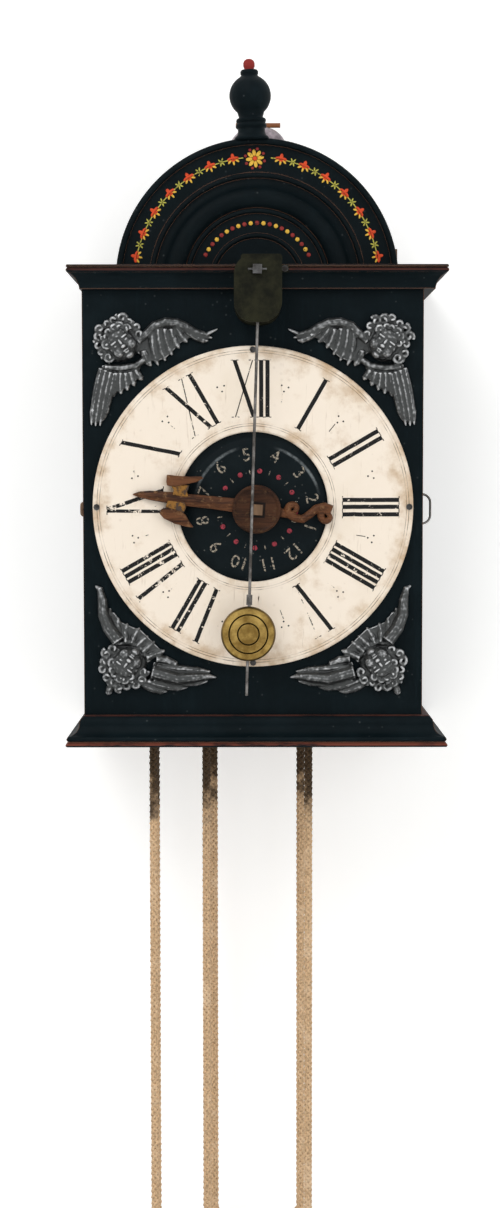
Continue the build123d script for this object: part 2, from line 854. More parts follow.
# Painted wooden dial ring, rebated behind for the alarm disc, and the nails of the front
disc_back = case_depth + alarm_disc_gap
disc_front = disc_back + alarm_disc_thickness
with BuildPart() as dial_ring:
    with BuildSketch(front_plane(case_depth, 0, dial_z)):
        Circle(dial_radius)
        Circle(dial_opening, mode=Mode.SUBTRACT)
    extrude(amount=dial_thickness)
    fillet(dial_ring.faces().sort_by(Axis.Y)[0].edges(), radius=1.2)
    rod_front(
        case_depth,
        disc_front + joint_gap,
        alarm_disc_radius + rebate_play,
        train_x,
        hour_z,
        mode=Mode.SUBTRACT,
    )
    for nail_x, nail_z in dial_nail_places:
        rod_front(case_depth, case_depth + dial_thickness, nail_shank, nail_x, nail_z, mode=Mode.SUBTRACT)
save(dial_ring, "dial_ring")

with BuildPart() as front_nails:
    for nail_x, nail_z in dial_nail_places:
        rod_front(front_board_back + 1, case_depth + dial_thickness, nail_shank, nail_x, nail_z)
        with BuildSketch(front_plane(case_depth + dial_thickness, nail_x, nail_z)):
            RegularPolygon(nail_head, 8)
        extrude(amount=nail_head_height)
    shield_ear_front = cornice_front + shield_sheet
    rod_front(shield_nail_end, shield_ear_front, nail_shank, shield_nail_x, shield_nail_z)
    with BuildSketch(front_plane(shield_ear_front, shield_nail_x, shield_nail_z)):
        RegularPolygon(nail_head, 8)
    extrude(amount=nail_head_height)
save(front_nails, "front_nails")

# Alarm-setting disc, dished at the rim, turning on the hour arbor's collar
with BuildPart() as alarm_disc:
    with BuildSketch(Plane(origin=(train_x, 0, hour_z), x_dir=(1, 0, 0), z_dir=(0, 0, 1))):
        bore = hour_collar_radius + running_gap
        dish_start = dial_opening - 9.0
        dish_end = dial_opening - 2.0
        with BuildLine():
            Polyline((bore, -disc_back), (bore, -disc_front), (dish_start, -disc_front))
            ThreePointArc(
                (dish_start, -disc_front),
                ((dish_start + dish_end) / 2, -disc_front + 0.35 * alarm_disc_dish),
                (dish_end, -disc_front + alarm_disc_dish),
            )
            Polyline(
                (dish_end, -disc_front + alarm_disc_dish),
                (alarm_disc_radius, -disc_front + alarm_disc_dish),
                (alarm_disc_radius, -disc_back),
                (bore, -disc_back),
            )
        make_face()
    revolve(axis=Axis((train_x, 0, hour_z), (0, 1, 0)))
save(alarm_disc, "alarm_disc")

# Hour arbor: pivot, body through the front board, collar for the disc, square for the hand
hand_back = case_depth + dial_thickness + hand_gap
hand_front = hand_back + hand_thickness
hub_front = hand_front + hub_rise
with BuildPart() as hour_arbor:
    rod_front(
        front_bar_depth + bar_thickness - pivot_length,
        front_bar_depth + bar_thickness + joint_gap,
        pivot_radius,
        train_x,
        hour_z,
    )
    bearing_face = front_bar_depth + bar_thickness + joint_gap
    wheel_front = hour_wheel_depth + thin_wheel
    rod_front(bearing_face, hour_wheel_depth, hour_arbor_radius, train_x, hour_z)
    rod_front(hour_wheel_depth, wheel_front, arbor_radius, train_x, hour_z)
    rod_front(wheel_front, case_depth + joint_gap, hour_arbor_radius, train_x, hour_z)
    rod_front(case_depth + joint_gap, hand_back, hour_collar_radius, train_x, hour_z)
    with BuildSketch(front_plane(hand_back, train_x, hour_z)):
        Rectangle(square_size, square_size, rotation=-4)
    extrude(amount=hub_front + square_reach - hand_back)
save(hour_arbor, "hour_arbor")

with BuildPart() as hour_wheel:
    toothed_wheel(
        wheel_teeth,
        hour_module,
        hour_wheel_depth,
        thin_wheel,
        train_x,
        hour_z,
        lead=-pi / 2,
        crossings=False,
    )
save(hour_wheel, "hour_wheel")

# Carved hour hand: pointer with two guards, round hub and a scrolled tail
tail_width = 5.6
with BuildPart() as hour_hand:
    with BuildSketch(front_plane(hand_back, train_x, hour_z)):
        with BuildLine():
            Polyline((-84.6, 10.4), (-73.0, 12.2), (-45.9, 10.3), (-14.0, 7.4), (-14.0, -2.0))
            Polyline((-14.0, -2.0), (-45.9, 2.3), (-73.0, 6.6), (-84.6, 10.4))
        make_face()
        with BuildLine():
            Line((-56.6, 9.0), (-46.4, 9.0))
            ThreePointArc((-46.4, 9.0), (-48.4, 13.0), (-46.0, 18.0))
            ThreePointArc((-46.0, 18.0), (-42.4, 18.9), (-36.6, 21.6))
            ThreePointArc((-36.6, 21.6), (-48.0, 23.6), (-61.2, 23.8))
            Line((-61.2, 23.8), (-61.4, 16.8))
            ThreePointArc((-61.4, 16.8), (-57.6, 16.2), (-55.4, 14.8))
            ThreePointArc((-55.4, 14.8), (-55.2, 12.0), (-56.6, 9.0))
        make_face()
        with BuildLine():
            Line((-61.0, 8.0), (-48.6, 6.0))
            ThreePointArc((-48.6, 6.0), (-48.6, -2.0), (-43.4, -11.8))
            ThreePointArc((-43.4, -11.8), (-55.4, -9.6), (-63.4, -5.6))
            ThreePointArc((-63.4, -5.6), (-66.0, -1.8), (-61.6, 2.4))
            Line((-61.6, 2.4), (-61.0, 8.0))
        make_face()
        with BuildLine():
            ThreePointArc((13.0, -6.0), (25.4, -8.0), (34.0, -5.0))
            ThreePointArc((34.0, -5.0), (40.4, 0.4), (48.6, 1.2))
        trace(line_width=tail_width)
        with Locations((24.3, 0.0), (48.6, -4.4)):
            Circle(6.0)
        with Locations(hub_shift):
            Circle(hub_radius)
        Rectangle(square_size, square_size, rotation=-4, mode=Mode.SUBTRACT)
    extrude(amount=hand_thickness)
    with BuildSketch(front_plane(hand_front, train_x + hub_shift[0], hour_z + hub_shift[1])):
        Circle(hub_radius)
    extrude(amount=hub_rise, taper=28)
    with BuildSketch(front_plane(hand_front, train_x, hour_z)):
        Rectangle(square_size, square_size, rotation=-4)
    extrude(amount=hub_rise, mode=Mode.SUBTRACT)
save(hour_hand, "hour_hand")

# Cast corner pieces: a head between two spread wings, in three heights of relief
casting_plate = 2.2
casting_wing = 2.2
casting_head = 9.5
head_x = 88.5
head_z = 113.0
head_radius = 17.4
wing_inner_track = dial_radius + 4.0


def casting(sign_x, sign_z):
    """One corner casting, mirrored into its corner by the two signs."""

    def spot(x, z):
        return (sign_x * x, sign_z * z)

    def scalloped(points, bulge):
        for first, last in zip(points, points[1:]):
            run_x = last[0] - first[0]
            run_z = last[1] - first[1]
            middle = ((first[0] + last[0]) / 2 + bulge * run_z, (first[1] + last[1]) / 2 - bulge * run_x)
            ThreePointArc(spot(*first), spot(*middle), spot(*last))

    def on_track(x):
        return (x, sqrt(wing_inner_track**2 - x**2))

    wing_top = [(76.0, 128.0), (62.0, 130.4), (47.0, 128.6), (35.0, 122.4), (23.6, 118.2)]
    wing_top_low = [(23.6, 118.2), (30.0, 112.6), on_track(46.0), on_track(60.0), on_track(72.0)]
    wing_side = [(101.5, 98.0), (107.5, 86.0), (109.4, 73.0), (109.0, 54.0)]
    wing_side_low = [(109.0, 54.0), (103.6, 57.0), (98.6, 68.0), on_track(85.0), on_track(80.0)]
    with BuildSketch(front_plane(case_depth, 0, dial_z)) as spread:
        with BuildLine():
            scalloped(wing_top, -0.12)
            scalloped(wing_top_low, -0.10)
            Line(spot(*wing_top_low[-1]), spot(*wing_top[0]))
        make_face()
        with BuildLine():
            scalloped(wing_side, -0.10)
            scalloped(wing_side_low, -0.12)
            Line(spot(*wing_side_low[-1]), spot(*wing_side[0]))
        make_face()
        with Locations(spot(head_x, head_z), spot(80.0, 96.0)):
            Circle(head_radius - 3.5)
    extrude(spread.sketch, amount=casting_plate)
    with BuildSketch(front_plane(case_depth + casting_plate, 0, dial_z)) as feathers:
        with BuildLine():
            scalloped([(74.0, 124.0), (61.0, 127.4), (48.0, 125.6), (38.0, 120.4)], -0.12)
            scalloped([(38.0, 120.4), (45.0, 112.5), (58.0, 107.5), (70.0, 100.5)], -0.12)
            Line(spot(70.0, 100.5), spot(74.0, 124.0))
        make_face()
        with BuildLine():
            scalloped([(101.0, 94.0), (105.4, 84.0), (106.2, 70.0)], -0.10)
            scalloped([(106.2, 70.0), (100.0, 76.0), (94.0, 84.0), (86.0, 90.0)], -0.12)
            Line(spot(86.0, 90.0), spot(101.0, 94.0))
        make_face()
    extrude(feathers.sketch, amount=casting_wing)
    centre_x = sign_x * head_x
    centre_z = dial_z + sign_z * head_z
    dome = (head_radius**2 + casting_head**2) / (2 * casting_head)
    dome_mid = degrees(asin(head_radius / dome)) / 2
    with BuildSketch(level_plane(centre_z, centre_x, case_depth)) as head:
        with BuildLine():
            Line((0, 0), (head_radius, 0))
            ThreePointArc(
                (head_radius, 0),
                (dome * sin(radians(dome_mid)), -casting_head + dome * (1 - cos(radians(dome_mid)))),
                (0, -casting_head),
            )
            Line((0, -casting_head), (0, 0))
        make_face()
    revolve(head.sketch, axis=Axis((centre_x, -case_depth, centre_z), (0, 1, 0)))


with BuildPart() as corner_castings:
    for sign_x in (-1, 1):
        for sign_z in (-1, 1):
            casting(sign_x, sign_z)
save(corner_castings, "corner_castings")

# Brass shield: a folded cover with a rounded foot, open at the back
ear_size = 5.0
shield_top = dial_z + shield_top_rise
shield_bottom = dial_z + shield_bottom_rise
shield_corner = 13.0
with BuildPart() as shield:
    shield_height = shield_top - shield_bottom
    shield_mid = (shield_top + shield_bottom) / 2
    with BuildSketch(front_plane(case_depth, shield_x, shield_mid)) as shield_outline:
        Rectangle(2 * shield_half_width, shield_height)
        fillet(shield_outline.vertices().group_by(Axis.Z)[0], radius=shield_corner)
    extrude(amount=shield_front - case_depth)
    with BuildSketch(front_plane(case_depth, shield_x, shield_mid)) as shield_inside:
        Rectangle(2 * (shield_half_width - shield_sheet), shield_height - 2 * shield_sheet)
        fillet(shield_inside.vertices().group_by(Axis.Z)[0], radius=shield_corner - shield_sheet)
    extrude(amount=shield_front - case_depth - shield_sheet, mode=Mode.SUBTRACT)
    slab(
        shield_x - shield_half_width - 1,
        shield_x + shield_half_width + 1,
        case_depth - 1,
        cornice_front,
        cornice_bottom,
        shield_top + 1,
        mode=Mode.SUBTRACT,
    )
    slab(
        shield_x + shield_half_width - shield_sheet,
        shield_x + shield_half_width + ear_size,
        cornice_front,
        cornice_front + shield_sheet,
        shield_nail_z - ear_size / 2,
        shield_nail_z + ear_size / 2,
    )
    rod_front(
        cornice_front,
        cornice_front + shield_sheet,
        nail_shank,
        shield_nail_x,
        shield_nail_z,
        mode=Mode.SUBTRACT,
    )
    rod_front(
        shield_front - shield_sheet,
        shield_front,
        verge_radius + 0.1,
        train_x,
        verge_z,
        mode=Mode.SUBTRACT,
    )
    rod_slot = (verge_z - shield_bottom) * tan(radians(pendulum_swing)) + rod_offset + rod_radius + 0.8
    slab(
        train_x - rod_slot,
        train_x + rod_slot,
        pendulum_depth - 2.4,
        pendulum_depth + 2.4,
        shield_bottom - 1,
        shield_bottom + 3,
        mode=Mode.SUBTRACT,
    )
save(shield, "shield")

# Upright bars of the movement, between the floor and the top board
lower_reach = pivot_length + 0.5


def bar(depth, holes):
    """An upright bar with a bearing hole for each pivot that runs in it."""
    slab(
        train_x - bar_half_width,
        train_x + bar_half_width,
        depth,
        depth + bar_thickness,
        floor_top,
        top_board_bottom,
    )
    for hole_back, hole_front, hole_x, hole_z, radius in holes:
        rod_front(hole_back, hole_front, radius + running_gap, hole_x, hole_z, mode=Mode.SUBTRACT)


front_bar_front = front_bar_depth + bar_thickness
middle_bar_front = middle_bar_depth + bar_thickness
rear_bar_front = rear_bar_depth + bar_thickness
with BuildPart() as front_bar:
    bar(
        front_bar_depth,
        (
            (front_bar_depth, front_bar_front, train_x, great_z, arbor_radius),
            (front_bar_depth, front_bar_depth + lower_reach, train_x, second_z, pivot_radius),
            (front_bar_depth, front_bar_depth + lower_reach, train_x, contrate_z, pivot_radius),
            (front_bar_front - lower_reach, front_bar_front, train_x, hour_z, pivot_radius),
        ),
    )
save(front_bar, "front_bar")

shared_hole = bar_thickness - lower_reach - 0.1
with BuildPart() as middle_bar:
    holes = []
    for pivot_z in (great_z, second_z, contrate_z):
        holes.append((middle_bar_front - lower_reach, middle_bar_front, train_x, pivot_z, pivot_radius))
    for pivot_x, pivot_z in (
        (train_x, strike_second_z),
        (train_x, warning_z),
        (train_x, fly_z),
        (hammer_arbor_x, hammer_arbor_z),
    ):
        holes.append((middle_bar_depth, middle_bar_depth + lower_reach, pivot_x, pivot_z, pivot_radius))
    holes.append((middle_bar_depth, middle_bar_depth + shared_hole, train_x, great_z, pivot_radius))
    bar(middle_bar_depth, holes)
save(middle_bar, "middle_bar")

with BuildPart() as rear_bar:
    holes = [(rear_bar_depth, rear_bar_front, train_x, great_z, arbor_radius)]
    for pivot_z in (strike_second_z, warning_z, fly_z):
        holes.append((rear_bar_front - lower_reach, rear_bar_front, train_x, pivot_z, pivot_radius))
    holes.append((rear_bar_front - lower_reach, rear_bar_front, hammer_arbor_x, hammer_arbor_z, pivot_radius))
    holes.append((rear_bar_depth, rear_bar_depth + lower_reach, train_x, count_z, pivot_radius))
    bar(rear_bar_depth, holes)
save(rear_bar, "rear_bar")

# Going train, between the front and middle bars
going_back = middle_bar_front
going_front = front_bar_depth
with BuildPart() as going_great_arbor:
    rod_front(going_back + joint_gap, front_bar_front + 2, arbor_radius, train_x, great_z)
    rod_front(going_back - pivot_length + 0.4, going_back + joint_gap, pivot_radius, train_x, great_z)
    pinion(hour_module, front_bar_front + joint_gap, hour_wheel_depth + 5, train_x, great_z)
    rod_front(hour_wheel_depth + 5, front_board_back - 1, pivot_radius, train_x, great_z)
save(going_great_arbor, "going_great_arbor")

with BuildPart() as going_great_wheel:
    toothed_wheel(wheel_teeth, great_module, great_wheel_depth, wheel_thickness, train_x, great_z)
save(going_great_wheel, "going_great_wheel")

with BuildPart() as going_sheave:
    rope_sheave(going_rope_depth, train_x, great_z, going_rope_track)
save(going_sheave, "going_sheave")

with BuildPart() as second_wheel:
    toothed_wheel(
        wheel_teeth, second_module, second_wheel_depth, wheel_thickness, train_x, second_z, bored=False
    )
    arbor_body(
        going_back, going_front, train_x, second_z, (great_module, great_wheel_depth - 0.5, going_front - 3)
    )
save(second_wheel, "second_wheel")

# Contrate wheel: its teeth stand on the back of the rim
contrate_rim = 3.4
with BuildPart() as contrate_tooth:
    pitch_width = 2 * pi * contrate_radius / contrate_teeth
    with BuildSketch(tooth_plane(contrate_radius - contrate_rim / 2)):
        Polygon(
            (-0.30 * pitch_width, -0.4),
            (0.30 * pitch_width, -0.4),
            (0.10 * pitch_width, contrate_face_tooth),
            (-0.10 * pitch_width, contrate_face_tooth),
            align=None,
        )
    extrude(amount=contrate_rim)

with BuildPart(front_plane(contrate_depth, train_x, contrate_z)) as contrate_wheel:
    with BuildSketch(front_plane(contrate_depth, train_x, contrate_z)):
        Circle(contrate_radius + contrate_rim / 2)
        Circle(contrate_radius - contrate_rim, mode=Mode.SUBTRACT)
        Circle(1.4 * crossing_width)
        Rectangle(crossing_width, 2 * contrate_radius - contrate_rim)
        Rectangle(2 * contrate_radius - contrate_rim, crossing_width)
    extrude(amount=4)
    with PolarLocations(0, contrate_teeth):
        add(contrate_tooth.part)
    arbor_body(
        going_back,
        going_front,
        train_x,
        contrate_z,
        (second_module, second_wheel_depth - 2, second_wheel_depth + 7),
    )
save(contrate_wheel, "contrate_wheel")

# Crown wheel on its upright arbor, under the verge
crown_tip = verge_z - verge_over_crown
crown_ring_top = crown_tip - crown_tooth_height
crown_disc_top = crown_ring_top - 3.0
crown_disc_bottom = crown_disc_top - 2.5
crown_pinion_low = contrate_z + contrate_radius - 4.5
cock_bottom = crown_pinion_low - 14.0
cock_top = cock_bottom + 6.0
with BuildPart() as crown_arbor:
    rod_up(cock_top + joint_gap, crown_pinion_low, 2.6, train_x, crown_depth)
    rod_up(crown_pinion_low + 9, crown_disc_bottom, 2.6, train_x, crown_depth)
    rod_up(cock_top - 4.0, cock_top + joint_gap, 0.8, train_x, crown_depth)
    rod_up(crown_disc_bottom, crown_disc_top, 2.0, train_x, crown_depth)
    rod_up(crown_disc_top, bridge_bottom - joint_gap, 1.6, train_x, crown_depth)
    rod_up(bridge_bottom - joint_gap, bridge_bottom + bridge_thickness, 0.8, train_x, crown_depth)
    with BuildSketch(level_plane(crown_pinion_low, train_x, crown_depth)):
        with BuildLine():
            Polyline(*leaf_points(pinion_leaves, contrate_module, -pi / 2 + pi / pinion_leaves), close=True)
        make_face()
    extrude(amount=9)
save(crown_arbor, "crown_arbor")

with BuildPart() as crown_tooth:
    tooth_pitch = 2 * pi * crown_radius / crown_teeth
    with BuildSketch(tooth_plane(crown_radius - crown_ring)):
        Polygon(
            (-0.50 * tooth_pitch, 0.3),
            (0.42 * tooth_pitch, 0.3),
            (0.50 * tooth_pitch - 0.9, -crown_tooth_height),
            (0.50 * tooth_pitch - 1.3, -crown_tooth_height),
            align=None,
        )
    extrude(amount=crown_ring - 0.4)

with BuildPart(level_plane(crown_ring_top, train_x, crown_depth)) as crown_wheel:
    with BuildSketch(level_plane(crown_disc_bottom, train_x, crown_depth)):
        Circle(crown_radius)
        Circle(2.0, mode=Mode.SUBTRACT)
    extrude(amount=crown_disc_top - crown_disc_bottom)
    with BuildSketch(level_plane(crown_disc_top, train_x, crown_depth)):
        Circle(crown_radius)
        Circle(crown_radius - crown_ring, mode=Mode.SUBTRACT)
    extrude(amount=crown_ring_top - crown_disc_top)
    with PolarLocations(0, crown_teeth):
        add(crown_tooth.part)
save(crown_wheel, "crown_wheel")

with BuildPart() as crown_foot_cock:
    slab(
        train_x - 5,
        train_x + 5,
        middle_bar_front,
        crown_depth + 2.4,
        cock_bottom,
        cock_top,
    )
    rod_up(cock_top - 4.5, cock_top, 0.8 + running_gap, train_x, crown_depth, mode=Mode.SUBTRACT)
save(crown_foot_cock, "crown_foot_cock")

with BuildPart() as crown_bridge:
    slab(
        train_x - bridge_half_length,
        train_x + bridge_half_length,
        crown_depth - bridge_half_width,
        crown_depth + bridge_half_width,
        bridge_bottom,
        bridge_bottom + bridge_thickness,
    )
    rod_up(
        bridge_bottom,
        bridge_bottom + bridge_thickness,
        0.8 + running_gap,
        train_x,
        crown_depth,
        mode=Mode.SUBTRACT,
    )
save(crown_bridge, "crown_bridge")

# Cocks that carry the verge across the cut-out
with BuildPart() as verge_cocks:
    for cock_depth in (front_cock_depth, rear_cock_depth):
        slab(
            train_x - slot_half_width,
            train_x + slot_half_width,
            cock_depth,
            cock_depth + cock_thickness,
            top_board_bottom + 2,
            top_board_top + 5,
        )
        rod_front(
            cock_depth,
            cock_depth + cock_thickness,
            verge_radius + running_gap,
            train_x,
            verge_z,
            mode=Mode.SUBTRACT,
        )
save(verge_cocks, "verge_cocks")

# Verge: arbor, two pallets, rod boss and the square end outside the shield
boss_half = 3.5
boss_thickness = 5.0
verge_square = 6.0
verge_square_length = 3.4
cross_pin_half = 6.2
cross_pin_radius = 0.7
verge_end = shield_front + 0.4
with BuildPart() as verge:
    rod_front(rear_cock_depth + 0.5, verge_end, verge_radius, train_x, verge_z)
    for side in (-1, 1):
        pallet_back = crown_depth + side * crown_radius - pallet_width / 2
        angle = -side * pallet_angle - pendulum_lean
        with BuildSketch(front_plane(pallet_back, train_x, verge_z)):
            Rectangle(pallet_sheet, pallet_length, rotation=angle, align=(Align.CENTER, Align.MAX))
        extrude(amount=pallet_width)
    with BuildSketch(front_plane(pendulum_depth - boss_thickness / 2, train_x, verge_z)):
        Rectangle(2 * (rod_offset + 2.0), 2 * boss_half, rotation=-pendulum_lean)
    extrude(amount=boss_thickness)
    with BuildSketch(front_plane(verge_end, train_x, verge_z)):
        Rectangle(verge_square, verge_square, rotation=-pendulum_lean)
    extrude(amount=verge_square_length)
    rod_right(
        train_x - cross_pin_half,
        train_x + cross_pin_half,
        cross_pin_radius,
        verge_end + verge_square_length / 2,
        verge_z,
    )
save(verge, "verge")

# Pendulum rod, lens-edged bob with turned grooves, and the sleeve above it
swing = radians(pendulum_lean)
rod_down = Vector(-sin(swing), 0, -cos(swing))
rod_top = Vector(
    train_x + rod_offset * cos(swing) - boss_half * sin(swing),
    -pendulum_depth,
    verge_z - rod_offset * sin(swing) - boss_half * cos(swing),
)


def on_rod(distance):
    """Plane square to the rod at a distance below its top, its normal down the rod."""
    return Plane(origin=rod_top + rod_down * distance, x_dir=(0, -1, 0), z_dir=rod_down)


with BuildPart() as pendulum_rod:
    with BuildSketch(on_rod(0)):
        Circle(rod_radius)
    extrude(amount=rod_length - boss_half)
    with BuildSketch(on_rod(sleeve_distance - boss_half - sleeve_length / 2)):
        Circle(sleeve_radius)
    extrude(amount=sleeve_length)
save(pendulum_rod, "pendulum_rod")

bob_centre = rod_top + rod_down * (bob_distance - boss_half)
bob_grooves = (13.0, 7.2)
groove_half = 0.5
with BuildPart() as pendulum_bob:
    with BuildSketch(Plane(origin=bob_centre, x_dir=(1, 0, 0), z_dir=(0, 0, 1))):
        half = bob_thickness / 2
        with BuildLine():
            Polyline((0, half), (bob_radius - 1.5, half))
            ThreePointArc((bob_radius - 1.5, half), (bob_radius, 0), (bob_radius - 1.5, -half))
            groove_line = [(bob_radius - 1.5, -half)]
            for groove in bob_grooves:
                groove_line.append((groove + groove_half, -half))
                groove_line.append((groove, -half + 0.9))
                groove_line.append((groove - groove_half, -half))
            groove_line.append((0, -half))
            Polyline(*groove_line)
            Line((0, -half), (0, half))
        make_face()
    revolve(axis=Axis(bob_centre, (0, 1, 0)))
    with BuildSketch(on_rod(bob_distance - boss_half - bob_radius - 2)):
        Circle(rod_radius)
    extrude(amount=2 * bob_radius + 4, mode=Mode.SUBTRACT)
save(pendulum_bob, "pendulum_bob")

# Striking train, between the middle and rear bars
strike_back = rear_bar_front
strike_front = middle_bar_depth
with BuildPart() as strike_great_wheel:
    toothed_wheel(
        wheel_teeth, strike_great_module, strike_great_depth, wheel_thickness, train_x, great_z, bored=False
    )
    pin_front = strike_great_depth + wheel_thickness
    with BuildSketch(front_plane(pin_front, train_x, great_z)):
        Circle(strike_pin_track + 3)
        Circle(strike_pin_track - 3, mode=Mode.SUBTRACT)
    extrude(amount=-wheel_thickness)
    with BuildSketch(front_plane(pin_front, train_x, great_z)):
        with PolarLocations(strike_pin_track, strike_pins):
            RegularPolygon(strike_pin_radius, 8)
    extrude(amount=4)
    rod_front(rear_bar_depth - joint_gap, strike_front - joint_gap, arbor_radius, train_x, great_z)
    rod_front(strike_front - joint_gap, strike_front + shared_hole - 0.2, pivot_radius, train_x, great_z)
    pinion(count_module, board + 3, rear_bar_depth - joint_gap, train_x, great_z)
save(strike_great_wheel, "strike_great_wheel")

with BuildPart() as strike_sheave:
    rope_sheave(strike_rope_depth, train_x, great_z, strike_rope_track)
save(strike_sheave, "strike_sheave")

with BuildPart() as strike_second_wheel:
    toothed_wheel(
        wheel_teeth, strike_second_module, strike_second_depth, 4, train_x, strike_second_z, bored=False
    )
    arbor_body(
        strike_back,
        strike_front,
        train_x,
        strike_second_z,
        (strike_great_module, strike_great_depth - 1.5, strike_front - 2),
    )
save(strike_second_wheel, "strike_second_wheel")

with BuildPart() as warning_wheel:
    toothed_wheel(
        warning_teeth, warning_module, warning_depth, 4, train_x, warning_z, crossings=False, bored=False
    )
    arbor_body(
        strike_back,
        strike_front,
        train_x,
        warning_z,
        (strike_second_module, strike_second_depth - 2, strike_second_depth + 7),
    )
save(warning_wheel, "warning_wheel")

# Fly: a flat vane on its arbor, which slows the striking
fly_radius = 19.0
fly_width = 15.0
with BuildPart() as fly:
    arbor_body(
        strike_back,
        strike_front,
        train_x,
        fly_z,
        (warning_module, warning_depth - 1.5, warning_depth + 6),
    )
    with BuildSketch(front_plane(strike_back + 3, train_x, fly_z)):
        Circle(arbor_radius + 3)
        Rectangle(2 * fly_radius, 2.0)
    extrude(amount=fly_width)
save(fly, "fly")

# Count wheel behind the rear bar
count_hub = pivot_radius + 1.5
with BuildPart() as count_wheel:
    with BuildSketch(front_plane(count_depth, train_x, count_z)):
        with BuildLine():
            Polyline(*wheel_points(count_teeth, count_module), close=True)
        make_face()
        Circle(28, mode=Mode.SUBTRACT)
        Circle(1.4 * crossing_width)
        Rectangle(crossing_width, 60)
        Rectangle(60, crossing_width)
    extrude(amount=4)
    rod_front(board + 1, rear_bar_depth - joint_gap, count_hub, train_x, count_z)
    rod_front(rear_bar_depth - joint_gap, rear_bar_depth + pivot_length, pivot_radius, train_x, count_z)
save(count_wheel, "count_wheel")

# Striking hammer: its arbor, tail beside the lifting pins and shank up into the bell
hammer_head_x = bell_x + 22.0
hammer_head_z = bell_lip + 3.0
tail_end_x = train_x + sqrt((strike_pin_track + strike_pin_radius) ** 2 - 16.0**2) + 2.6
tail_end_z = great_z + 16.0
with BuildPart() as strike_hammer:
    arbor_body(strike_back, strike_front, hammer_arbor_x, hammer_arbor_z)
    for end_x, end_z in ((hammer_head_x, hammer_head_z), (tail_end_x, tail_end_z)):
        start = Vector(hammer_arbor_x, -hammer_depth, hammer_arbor_z)
        end = Vector(end_x, -hammer_depth, end_z)
        way = (end - start).normalized()
        with BuildSketch(Plane(origin=start, x_dir=(0, -1, 0), z_dir=way)):
            Circle(hammer_wire)
        extrude(amount=(end - start).length)
    rod_right(
        hammer_head_x - 4.0,
        hammer_head_x + 3.6,
        hammer_head_radius,
        hammer_depth,
        hammer_head_z,
    )
save(strike_hammer, "strike_hammer")

# Alarm: a frame on the front board, the rope arbor across it and the upright hammer staff
alarm_frame_back = 104.5
alarm_left_cheek = -96.0
alarm_right_cheek = -61.5
cheek = 5.5
with BuildPart() as alarm_frame:
    slab(
        alarm_left_cheek,
        alarm_staff_x + 5,
        front_board_back - 6,
        front_board_back,
        alarm_arbor_z - 18,
        alarm_arbor_z + 18,
    )
    for cheek_x in (alarm_left_cheek, alarm_right_cheek):
        slab(
            cheek_x,
            cheek_x + cheek,
            alarm_frame_back + 4,
            front_board_back - 6,
            alarm_arbor_z - 9,
            alarm_arbor_z + 9,
        )
        rod_right(
            cheek_x,
            cheek_x + cheek,
            alarm_arbor_radius + running_gap,
            alarm_arbor_depth,
            alarm_arbor_z,
            mode=Mode.SUBTRACT,
        )
    slab(
        alarm_staff_x - 5,
        alarm_staff_x + 5,
        alarm_arbor_depth - 6,
        front_board_back - 6,
        alarm_arbor_z - 18,
        alarm_arbor_z - 13,
    )
    rod_up(
        alarm_arbor_z - 18,
        alarm_arbor_z - 13,
        1.5 + running_gap,
        alarm_staff_x,
        alarm_arbor_depth,
        mode=Mode.SUBTRACT,
    )
save(alarm_frame, "alarm_frame")

alarm_wheel_x = alarm_right_cheek + cheek + joint_gap
with BuildPart() as alarm_sheave:
    groove_half_width = rope_radius + rope_gap
    groove_bottom = alarm_rope_track - rope_radius - rope_gap
    alarm_flange = alarm_rope_track + sheave_flange
    sheave_half = min(groove_half_width + sheave_wall, alarm_right_cheek - joint_gap - alarm_rope_x)
    with BuildSketch(front_plane(alarm_arbor_depth, alarm_rope_x, alarm_arbor_z)):
        with BuildLine():
            Polyline(
                (-sheave_half, alarm_arbor_radius),
                (-sheave_half, alarm_flange),
                (-groove_half_width, alarm_flange),
                (-groove_half_width, groove_bottom + groove_half_width),
            )
            ThreePointArc(
                (-groove_half_width, groove_bottom + groove_half_width),
                (0, groove_bottom),
                (groove_half_width, groove_bottom + groove_half_width),
            )
            Polyline(
                (groove_half_width, groove_bottom + groove_half_width),
                (groove_half_width, alarm_flange),
                (sheave_half, alarm_flange),
                (sheave_half, alarm_arbor_radius),
                (-sheave_half, alarm_arbor_radius),
            )
        make_face()
    revolve(axis=Axis((alarm_rope_x, -alarm_arbor_depth, alarm_arbor_z), (1, 0, 0)))
save(alarm_sheave, "alarm_sheave")

with BuildPart() as alarm_tooth:
    alarm_pitch = 2 * pi * alarm_crown_radius / alarm_crown_teeth
    with BuildSketch(tooth_plane(alarm_crown_radius - 2.2)):
        Polygon(
            (-0.50 * alarm_pitch, 0.3),
            (0.40 * alarm_pitch, 0.3),
            (0.50 * alarm_pitch - 1.2, -3.4),
            (0.50 * alarm_pitch - 1.7, -3.4),
            align=None,
        )
    extrude(amount=1.9)

alarm_tooth_base = alarm_wheel_x + 2.5
with BuildPart(side_plane(alarm_tooth_base, alarm_arbor_depth, alarm_arbor_z)) as alarm_crown:
    with BuildSketch(side_plane(alarm_wheel_x, alarm_arbor_depth, alarm_arbor_z)):
        Circle(alarm_crown_radius)
    extrude(amount=alarm_tooth_base - alarm_wheel_x)
    with PolarLocations(0, alarm_crown_teeth):
        add(alarm_tooth.part)
    rod_right(alarm_left_cheek - 1, alarm_wheel_x, alarm_arbor_radius, alarm_arbor_depth, alarm_arbor_z)
save(alarm_crown, "alarm_crown")

